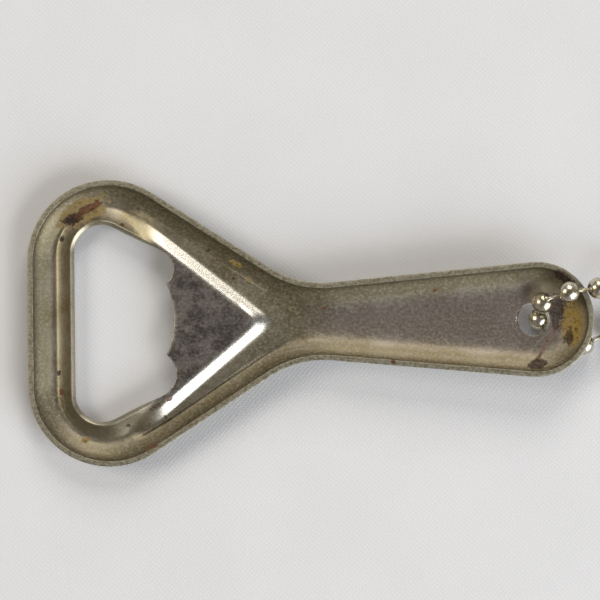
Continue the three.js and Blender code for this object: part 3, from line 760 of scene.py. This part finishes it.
def wear_group():
    """Small changes of a plated surface: cloudy tone, fine grain and hairline scratches.

    Tone and Grain are about 0.5 on average. Scratch is 1 on a hairline. Height joins them.
    """
    tree, take, give = new_group(
        "plate_wear",
        {"Vector": ("NodeSocketVector", None), "Stretch": ("NodeSocketVector", (1, 1, 1))},
        {"Tone": "NodeSocketFloat", "Grain": "NodeSocketFloat", "Scratch": "NodeSocketFloat",
         "Height": "NodeSocketFloat"})
    tone = noise(tree, take["Vector"], 0.16, 5.0, 0.6)
    stretched = put(tree, "ShaderNodeVectorMath", {0: take["Vector"], 1: take["Stretch"]},
                    operation="MULTIPLY").outputs[0]
    grain = noise(tree, stretched, 2.6, 5.0, 0.7)
    warped = noise(tree, take["Vector"], 0.35, 2.0, 0.5)
    bent = put(tree, "ShaderNodeVectorMath", {0: take["Vector"], 1: warped},
               operation="ADD").outputs[0]
    lines = []
    for angle, scale in ((0.5, 1.1), (2.3, 0.8)):
        level = put(tree, "ShaderNodeVectorRotate", {"Vector": bent, "Angle": angle},
                    rotation_type="Z_AXIS").outputs[0]
        long = put(tree, "ShaderNodeVectorMath", {0: level, 1: (0.06 * scale, 3.2 * scale, 1)},
                   operation="MULTIPLY").outputs[0]
        lines.append(ramp(tree, noise(tree, long, 1.0, 2.0, 0.5), 0.70, 0.76))
    scratch = math_node(tree, "MAXIMUM", *lines)
    height = math_node(tree, "SUBTRACT", grain, math_node(tree, "MULTIPLY", scratch, 0.3))
    for label, socket in (("Tone", tone), ("Grain", grain), ("Scratch", scratch), ("Height", height)):
        tree.links.new(socket, give[label])
    return tree


def shared_group(name, make):
    return bpy.data.node_groups.get(name) or make()


def rgba(r, g, b):
    return (r, g, b, 1.0)


# Stains on the hollow side, with a painted bead shadow and a painted shade line among them: name, colour,
# strength, centre and half size in millimetres, turn in degrees, how ragged, and how fine the ragged edge is
# Near-black rust, also used for the painted bead shadow and the painted crease line
RUST_DEEP_AND_SHADE = rgba(0.03, 0.013, 0.006)
RUST_RED = rgba(0.13, 0.038, 0.012)
RUST_GOLD = rgba(0.34, 0.22, 0.035)
STAINS = (
    ("halo over the bar's corner", RUST_GOLD, 0.6, (8.2, 16.6), (4.4, 1.9), 28, 0.7, 0.8),
    ("black core in the halo", RUST_DEEP_AND_SHADE, 1.0, (6.6, 15.6), (1.7, 0.95), 20, 0.9, 1.8),
    ("red trail by the core", RUST_RED, 0.9, (9.0, 17.2), (2.4, 0.6), 28, 1.0, 1.6),
    ("spot on the bar", RUST_DEEP_AND_SHADE, 0.95, (5.0, 12.7), (0.42, 0.5), 0, 0.5, 2.2),
    ("lower spot on the bar", RUST_DEEP_AND_SHADE, 0.95, (4.3, -7.4), (0.4, 0.45), 0, 0.5, 2.2),
    ("lowest spot on the bar", RUST_RED, 0.9, (4.7, -10.2), (0.4, 0.55), 0, 0.5, 2.2),
    ("orange spot", RUST_GOLD, 0.85, (8.2, -17.4), (0.6, 0.5), 0, 0.6, 2.0),
    ("spot in the lower corner", RUST_DEEP_AND_SHADE, 0.85, (14.7, -15.3), (0.35, 0.3), 0, 0.6, 2.4),
    ("streak in the lower corner", RUST_DEEP_AND_SHADE, 0.9, (18.9, -12.5), (1.1, 0.5), 30, 0.9, 2.0),
    ("second streak", RUST_RED, 0.85, (20.9, -11.4), (0.6, 0.3), 30, 0.8, 2.4),
    ("dot", RUST_DEEP_AND_SHADE, 0.85, (20.3, -14.1), (0.32, 0.3), 0, 0.6, 2.4),
    ("second dot", RUST_RED, 0.85, (21.8, -13.2), (0.3, 0.26), 0, 0.6, 2.4),
    ("rust by the rim", RUST_RED, 0.75, (18.4, -18.4), (1.2, 0.35), 12, 1.0, 1.8),
    ("rim rust", RUST_RED, 0.8, (25.9, -14.5), (1.2, 0.5), 33, 1.0, 1.6),
    ("leg dot", RUST_DEEP_AND_SHADE, 0.85, (26.9, 10.7), (0.35, 0.32), 0, 0.5, 2.4),
    ("second leg dot", RUST_RED, 0.9, (28.3, 9.2), (0.34, 0.32), 0, 0.5, 2.4),
    ("gold on the leg", RUST_GOLD, 0.75, (31.0, 8.7), (1.0, 0.42), -30, 0.8, 1.8),
    ("second gold on the leg", RUST_GOLD, 0.7, (33.0, 6.2), (0.55, 0.3), -30, 0.8, 2.0),
    # painted shadow: a near-black patch where a bead's shadow falls on the handle's wall
    ("painted shadow of a bead on the wall", RUST_DEEP_AND_SHADE, 0.95, (80.1, 6.2), (2.2, 1.1), -20, 0.8, 1.2),
    ("gold patch at the key hole", RUST_GOLD, 0.9, (80.8, -0.5), (1.7, 3.8), 0, 0.55, 0.9),
    ("dark about the key hole", RUST_DEEP_AND_SHADE, 0.85, (78.7, 1.2), (1.2, 3.0), -8, 0.9, 1.2),
    ("black in the gold", RUST_DEEP_AND_SHADE, 0.85, (80.3, -2.7), (1.2, 0.8), 60, 1.3, 1.5),
    ("edge of the stain", RUST_RED, 0.6, (76.8, -4.1), (4.0, 0.3), 58, 0.7, 1.2),
    ("foot of the stain", RUST_DEEP_AND_SHADE, 0.8, (75.5, -6.7), (1.5, 0.8), 10, 0.9, 1.2),
    # painted shade: a thin dark line along the crease where the neck's wall meets the floor
    ("painted shade line in the neck's crease", RUST_DEEP_AND_SHADE, 0.55, (40.7, 2.7), (3.6, 0.12), -10, 0.35, 1.4),
    ("dot on the neck", RUST_RED, 0.8, (44.2, 2.0), (0.45, 0.3), 0, 0.6, 2.0),
)


def worn_nickel(colours, origin, tilt):
    """Nickel plate on pressed steel, cloudy, grained and with rust stains, bright along its cut edges, with
    painted shade on its walls and along a crease, a painted bead shadow, a painted dark reflection on the tooth
    plate and painted highlights along the plate's edges.
    """
    material = bpy.data.materials.new("worn_nickel_steel")
    material.use_nodes = True
    tree = material.node_tree
    shader = tree.nodes["Principled BSDF"]
    place = put(tree, "ShaderNodeTexCoord").outputs["Object"]
    own = put(tree, "ShaderNodeMapping",
              {"Vector": place, "Location": tuple(origin), "Rotation": (0, tilt, 0),
               "Scale": (MM, MM, MM)}, vector_type="TEXTURE").outputs[0]
    patch = shared_group("ragged_patch", patch_group)
    specks = shared_group("specks", speckle_group)
    wear = use(tree, shared_group("plate_wear", wear_group), {"Vector": own, "Stretch": (0.85, 1, 1)})
    hollow = put(tree, "ShaderNodeAttribute", attribute_name="hollow").outputs["Fac"]
    cut = put(tree, "ShaderNodeAttribute", attribute_name="cut_edge").outputs["Fac"]
    inset = put(tree, "ShaderNodeAttribute", attribute_name="inset").outputs["Fac"]
    axes = put(tree, "ShaderNodeSeparateXYZ", {0: own}).outputs
    beyond = put(tree, "ShaderNodeAttribute", attribute_name="beyond_plate").outputs["Fac"]

    colour = blend_colour(tree, ramp(tree, wear.outputs["Tone"], 0.35, 0.65),
                          rgba(0.22, 0.185, 0.10), rgba(*colours.steel))
    on_handle = math_node(tree, "MULTIPLY", ramp(tree, axes[0], 38.0, 48.0),
                          ramp(tree, inset, 2.0, 5.0))
    colour = blend_colour(tree, math_node(tree, "MULTIPLY", on_handle, 0.8), colour,
                          rgba(0.34, 0.285, 0.25))
    # Painted shade: the walls within a few millimetres of the rim are darkened to a dark olive and made a little
    # rougher
    wall_painted_shade = ramp(tree, inset, 3.4, 2.2)
    colour = blend_colour(tree, math_node(tree, "MULTIPLY", wall_painted_shade, 0.8), colour,
                          rgba(0.17, 0.142, 0.078))
    # The tooth plate gets a blotchy dark grey-purple: partly blotchy plating, partly a painted reflection of the
    # dark room overhead
    ahead = ramp(tree, axes[0], 17.5, 21.0)
    plate = math_node(tree, "MULTIPLY", ahead, ramp(tree, beyond, 0.25, -0.5))
    plate = math_node(tree, "MULTIPLY", plate, ramp(tree, axes[0], 36.0, 33.0))
    blotch = ramp(tree, noise(tree, own, 0.5, 5.0, 0.65), 0.40, 0.60)
    blotchy_painted_reflection = blend_colour(tree, blotch, rgba(0.19, 0.165, 0.155), rgba(0.42, 0.375, 0.345))
    colour = blend_colour(tree, math_node(tree, "MULTIPLY", plate, 0.9), colour, blotchy_painted_reflection)
    # Painted highlight: a light band along the tooth plate's sloped edges, also made smoother
    painted_highlight_band = math_node(tree, "MULTIPLY", ahead, math_node(
        tree, "MULTIPLY", ramp(tree, beyond, -0.4, 0.3), ramp(tree, beyond, 2.2, 1.1)))
    painted_highlight_band = math_node(tree, "MULTIPLY", painted_highlight_band, ramp(tree, axes[0], 39.0, 36.0))
    colour = blend_colour(tree, math_node(tree, "MULTIPLY", painted_highlight_band, 0.85), colour,
                          rgba(0.66, 0.63, 0.57))
    grain = ramp(tree, wear.outputs["Grain"], 0.42, 0.72, 0.0, 0.45)
    colour = blend_colour(tree, grain, colour, rgba(0.50, 0.46, 0.42))
    grit = use(tree, specks, {"Vector": own, "Spacing": 0.55, "Share": 0.25})
    colour = blend_colour(tree, math_node(tree, "MULTIPLY", grit.outputs[0], 0.6), colour,
                          rgba(0.10, 0.08, 0.06))
    colour = blend_colour(tree, math_node(tree, "MULTIPLY", wear.outputs["Scratch"], 0.25), colour,
                          rgba(0.62, 0.60, 0.56))
    edge = math_node(tree, "MULTIPLY", cut, ramp(tree, wear.outputs["Grain"], 0.38, 0.6, 0.15, 0.9))
    colour = blend_colour(tree, edge, colour, rgba(0.37, 0.345, 0.27))
    broken = ramp(tree, noise(tree, own, 3.2, 5.0, 0.7), 0.36, 0.50, 0.55, 1.0)
    stains_and_painted_shade = 0.0
    # Each entry is mixed in as a ragged patch of its colour; the bead shadow and the crease line among them are
    # painted shade
    for _, tint, strength, centre, half, turn, ragged, grain in STAINS:
        spot = use(tree, patch, {
            "Vector": own, "Centre": (*centre, 0), "Half size": (*half, 1),
            "Turn": math.radians(-turn), "Ragged": ragged * 0.6, "Grain": grain}).outputs[0]
        share = math_node(tree, "MULTIPLY", math_node(tree, "MULTIPLY", spot, strength), hollow)
        share = math_node(tree, "MULTIPLY", share, broken)
        colour = blend_colour(tree, share, colour, tint)
        stains_and_painted_shade = share if stains_and_painted_shade == 0.0 else math_node(tree, "MAXIMUM", stains_and_painted_shade, share)
    flecks = math_node(tree, "MULTIPLY", stains_and_painted_shade, ramp(tree, noise(tree, own, 1.9, 5.0, 0.75),
                                                       0.50, 0.60, 0.0, 0.85))
    colour = blend_colour(tree, flecks, colour, RUST_DEEP_AND_SHADE)
    rusty = use(tree, specks, {"Vector": own, "Spacing": 2.1, "Share": 0.12})
    colour = blend_colour(tree, math_node(tree, "MULTIPLY", rusty.outputs[0], 0.8), colour, RUST_RED)
    tree.links.new(colour, shader.inputs["Base Color"])
    clean = math_node(tree, "SUBTRACT", 1.0, stains_and_painted_shade, clamp=True)
    tree.links.new(math_node(tree, "MULTIPLY", clean, 0.97), shader.inputs["Metallic"])
    rough = ramp(tree, wear.outputs["Grain"], 0.2, 0.8, 0.34, 0.50)
    rough = math_node(tree, "ADD", rough, math_node(tree, "MULTIPLY", wall_painted_shade, 0.12))
    rough = math_node(tree, "SUBTRACT", rough, math_node(tree, "MULTIPLY", painted_highlight_band, 0.14))
    rough = math_node(tree, "SUBTRACT", rough, math_node(tree, "MULTIPLY", plate, 0.08))
    rough = math_node(tree, "ADD", rough, math_node(tree, "MULTIPLY", stains_and_painted_shade, 0.35))
    tree.links.new(rough, shader.inputs["Roughness"])
    bump = put(tree, "ShaderNodeBump",
               {"Strength": 0.35, "Distance": 0.04 * MM, "Height": wear.outputs["Height"]})
    tree.links.new(bump.outputs[0], shader.inputs["Normal"])
    return material


def bright_nickel(name, tint, rough):
    """Bright nickel plate with a little brass showing through and dirt in fine specks."""
    material = bpy.data.materials.new(name)
    material.use_nodes = True
    tree = material.node_tree
    shader = tree.nodes["Principled BSDF"]
    place = put(tree, "ShaderNodeTexCoord").outputs["Object"]
    own = put(tree, "ShaderNodeMapping", {"Vector": place, "Scale": (1 / MM, 1 / MM, 1 / MM)}).outputs[0]
    wear = use(tree, shared_group("plate_wear", wear_group), {"Vector": own, "Stretch": (1, 1, 1)})
    cloud = noise(tree, own, 0.9, 4.0, 0.6)
    colour = blend_colour(tree, ramp(tree, cloud, 0.4, 0.65), rgba(*tint),
                          rgba(0.46, 0.40, 0.24))
    dirt = use(tree, shared_group("specks", speckle_group),
               {"Vector": own, "Spacing": 0.6, "Share": 0.2}).outputs[0]
    colour = blend_colour(tree, math_node(tree, "MULTIPLY", dirt, 0.8), colour, RUST_DEEP_AND_SHADE)
    tree.links.new(colour, shader.inputs["Base Color"])
    shader.inputs["Metallic"].default_value = 1.0
    tree.links.new(ramp(tree, wear.outputs["Grain"], 0.25, 0.8, rough, rough + 0.16),
                   shader.inputs["Roughness"])
    bump = put(tree, "ShaderNodeBump",
               {"Strength": 0.25, "Distance": 0.02 * MM, "Height": wear.outputs["Height"]})
    tree.links.new(bump.outputs[0], shader.inputs["Normal"])
    return material


# ---- The connector ----

class OPENER_OT_connector(bpy.types.Operator):
    """Finish the snap connector at the end of the chain"""
    bl_idname = "opener.connector"
    bl_label = "Connector"

    def execute(self, context):
        finish = bright_nickel("connector_nickel", (0.66, 0.63, 0.56), 0.18)
        node = frame["nodes"]["snap_connector"]
        node.data.materials.clear()
        node.data.materials.append(finish)
        return {"FINISHED"}


# ---- The stage ----

def cloth_material(colours):
    """Pale cotton: a fine plain weave with slightly uneven threads."""
    material = bpy.data.materials.new("pale_cloth")
    material.use_nodes = True
    tree = material.node_tree
    shader = tree.nodes["Principled BSDF"]
    place = put(tree, "ShaderNodeTexCoord").outputs["Object"]
    own = put(tree, "ShaderNodeMapping",
              {"Vector": place, "Rotation": (0, 0, math.radians(41)),
               "Scale": (1 / MM, 1 / MM, 1 / MM)}).outputs[0]
    slow = noise(tree, own, 0.05, 3.0, 0.5)
    threads = []
    for direction in ("X", "Y"):
        wave = put(tree, "ShaderNodeTexWave",
                   {"Vector": own, "Scale": 0.62, "Distortion": 2.6, "Detail": 3.0,
                    "Detail Scale": 1.4}, bands_direction=direction)
        threads.append(wave.outputs["Fac"])
    weave = math_node(tree, "MULTIPLY", *threads)
    weave = math_node(tree, "ADD", weave, math_node(tree, "MULTIPLY", noise(tree, own, 1.6), 0.5))
    colour = blend_colour(tree, ramp(tree, slow, 0.35, 0.65, 0.0, 0.5), rgba(*colours.cloth),
                          rgba(0.71, 0.705, 0.72))
    colour = blend_colour(tree, ramp(tree, weave, 0.2, 0.9, 0.04, 0.0), colour, rgba(0.4, 0.39, 0.39))
    tree.links.new(colour, shader.inputs["Base Color"])
    shader.inputs["Roughness"].default_value = 0.95
    shader.inputs["Specular IOR Level"].default_value = 0.1
    bump = put(tree, "ShaderNodeBump", {"Strength": 0.16, "Distance": 0.12 * MM, "Height": weave})
    tree.links.new(bump.outputs[0], shader.inputs["Normal"])
    return material


def area_light(name, azimuth, elevation, distance_m, size, power, colour, target):
    """A square light that looks at the target from a bearing and a height in degrees."""
    data = bpy.data.lights.new(name, "AREA")
    data.size = size
    data.energy = power
    data.color = colour
    light = bpy.data.objects.new(name, data)
    a, e = math.radians(azimuth), math.radians(elevation)
    way = Vector((math.cos(a) * math.cos(e), math.sin(a) * math.cos(e), math.sin(e)))
    light.location = target + way * distance_m
    light.rotation_euler = (-way).to_track_quat("-Z", "Y").to_euler()
    bpy.context.scene.collection.objects.link(light)
    return light


class OPENER_OT_stage(bpy.types.Operator):
    """Make the cloth, the lights, the surroundings and the camera"""
    bl_idname = "opener.stage"
    bl_label = "Stage"

    def execute(self, context):
        scene = context.scene
        side = 0.9
        mesh = bpy.data.meshes.new("cloth")
        grid = np.array([[-1, -1], [1, -1], [1, 1], [-1, 1]]) * side
        mesh.from_pydata(np.column_stack([grid, np.full(4, -0.02 * MM)]), [], [[0, 1, 2, 3]])
        cloth = bpy.data.objects.new("cloth", mesh)
        scene.collection.objects.link(cloth)
        mesh.materials.append(cloth_material(scene.opener_colours))

        centre, _, _ = to_row(np.array([40.6, 3.2, 3.4]))
        target = Vector(centre)
        area_light("cool_window", -38, 26, 0.9, 0.75, 10.5, (0.92, 0.96, 1.0), target)
        area_light("warm_lamp", 165, 42, 0.9, 0.4, 2.8, (1.0, 0.94, 0.82), target)
        area_light("soft_side", 80, 34, 0.9, 0.45, 4.0, (1.0, 0.97, 0.92), target)

        world = bpy.data.worlds.new("room")
        world.use_nodes = True
        tree = world.node_tree
        back = tree.nodes["Background"]
        place = put(tree, "ShaderNodeTexCoord").outputs["Generated"]
        height = put(tree, "ShaderNodeSeparateXYZ", {0: place}).outputs["Z"]
        tint = blend_colour(tree, ramp(tree, height, 0.25, 0.95), rgba(0.60, 0.56, 0.50),
                            rgba(0.25, 0.24, 0.245))
        tree.links.new(tint, back.inputs["Color"])
        back.inputs["Strength"].default_value = 0.48
        scene.world = world

        data = bpy.data.cameras.new("camera")
        camera = bpy.data.objects.new("camera", data)
        height_m = 0.36
        frame_width = 88.9 * MM
        data.sensor_width = 36.0
        data.lens = data.sensor_width * height_m / frame_width
        camera.location = target + Vector((0, 0, height_m))
        camera.rotation_euler = (0, 0, math.radians(-0.55))
        scene.collection.objects.link(camera)
        scene.camera = camera
        scene.view_settings.view_transform = "Standard"
        return {"FINISHED"}


class OPENER_PT_parts(bpy.types.Panel):
    """Lists the parts of the opener that can be made"""
    bl_label = "Opener"
    bl_idname = "OPENER_PT_parts"
    bl_space_type = "VIEW_3D"
    bl_region_type = "UI"
    bl_category = "Opener"

    def draw(self, context):
        for operator in OPERATORS:
            self.layout.operator(operator.bl_idname)


OPERATORS = (OPENER_OT_sheet, OPENER_OT_beads, OPENER_OT_links, OPENER_OT_connector, OPENER_OT_stage)
GROUPS = {"opener_sizes": OpenerSizes, "chain_sizes": ChainSizes, "opener_colours": Colours}


def register():
    for one in (*GROUPS.values(), *OPERATORS, OPENER_PT_parts):
        bpy.utils.register_class(one)
    for name, group in GROUPS.items():
        setattr(bpy.types.Scene, name, bpy.props.PointerProperty(type=group))


def unregister():
    for name in GROUPS:
        delattr(bpy.types.Scene, name)
    for one in (OPENER_PT_parts, *reversed(OPERATORS), *reversed(GROUPS.values())):
        bpy.utils.unregister_class(one)


def main():
    register()
    bpy.ops.opener.stage()
    bpy.ops.opener.sheet()
    bpy.ops.opener.beads()
    bpy.ops.opener.links()
    bpy.ops.opener.connector()


if __name__ == "__main__":
    main()
